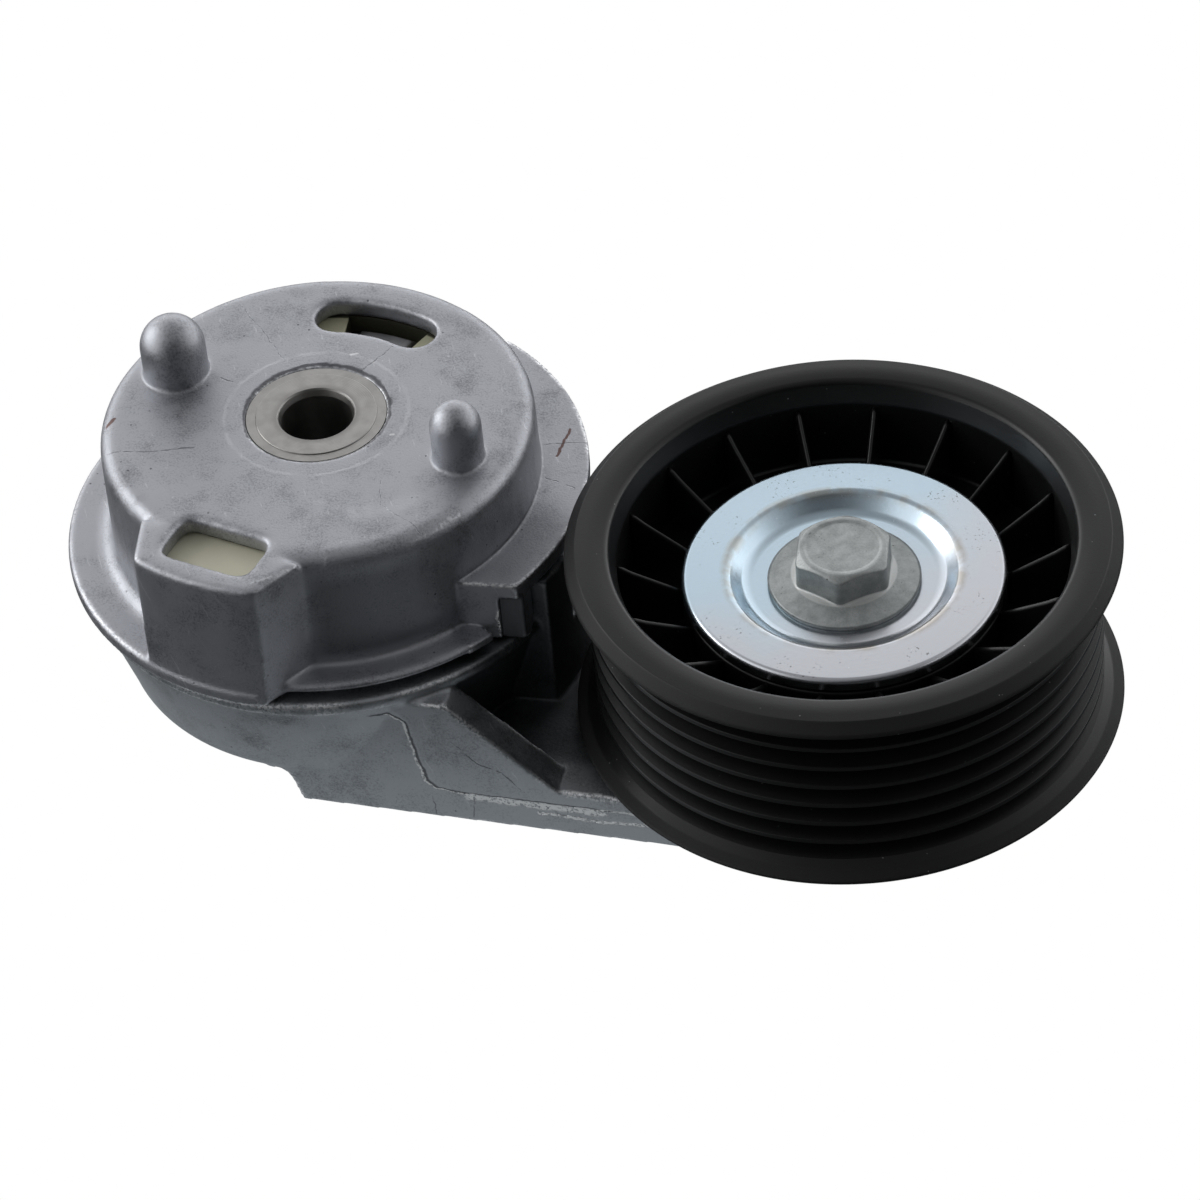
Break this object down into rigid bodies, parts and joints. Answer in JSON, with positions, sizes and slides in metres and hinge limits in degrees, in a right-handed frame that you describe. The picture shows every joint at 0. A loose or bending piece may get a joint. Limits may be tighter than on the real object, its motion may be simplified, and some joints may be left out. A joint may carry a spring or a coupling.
{
  "type": "belt tensioner idler",
  "caption": "Sprung accessory-belt tensioner: a cast drum base with locating pegs, a swinging cast arm and a black ribbed idler pulley on a sealed bearing.",
  "frame": {"origin": "on the pivot axis, at the mouth of the bolt bore in the mounting face", "axes": "+Z out of the mounting face along the pivot axis, +X from the pivot towards the pulley axis at rest"},
  "size_m": [0.1571, 0.0788, 0.0567],
  "materials": {
    "cast_base": "raw die cast",
    "cast_arm": "raw die cast",
    "tube_steel": "turned",
    "nylon": "moulded",
    "spring_steel": "oiled",
    "plate_steel": "zinc plated",
    "pulley_plastic": "moulded glass-filled",
    "bearing_steel": "ground",
    "cage_plastic": "moulded",
    "seal_rubber": "moulded",
    "shield_zinc": "bright zinc plated",
    "bolt_coat": "zinc flake"
  },
  "bodies": {
    "base": {"base_housing": "cast_base", "pivot_tube": "tube_steel", "mounting_sleeve": "tube_steel", "damper_shoe": "nylon", "spring_bushing": "nylon", "torsion_spring": "spring_steel", "end_plate": "plate_steel"},
    "arm": {"arm_casting": "cast_arm", "pivot_bushing": "nylon", "spring_seat": "nylon", "thrust_washer": "nylon", "bearing_inner_ring": "bearing_steel", "dust_shield": "shield_zinc", "pulley_bolt": "bolt_coat"},
    "pulley": {"pulley_wheel": "pulley_plastic", "bearing_outer_ring": "bearing_steel", "bearing_seal_front": "seal_rubber", "bearing_seal_rear": "seal_rubber"},
    "cage": {"bearing_cage": "cage_plastic", "bearing_balls": "bearing_steel"}
  },
  "joints": [
    {"name": "arm_pivot", "type": "hinge", "parent": "base", "child": "arm", "pos_m": [0, 0, 0], "axis": [0, 0, 1], "range_deg": [0, 55], "stiffness_Nm_per_rad": 10, "springref_deg": -68.75},
    {"name": "pulley_spin", "type": "hinge", "parent": "arm", "child": "pulley", "pos_m": [0.079, 0, -0.02095], "axis": [0, 0, 1], "continuous": true},
    {"name": "cage_spin", "type": "hinge", "parent": "arm", "child": "cage", "pos_m": [0.079, 0, -0.02095], "axis": [0, 0, 1], "continuous": true}
  ],
  "couplings": [
    {"joint": "cage_spin", "follows": "pulley_spin", "ratio": 0.616}
  ]
}
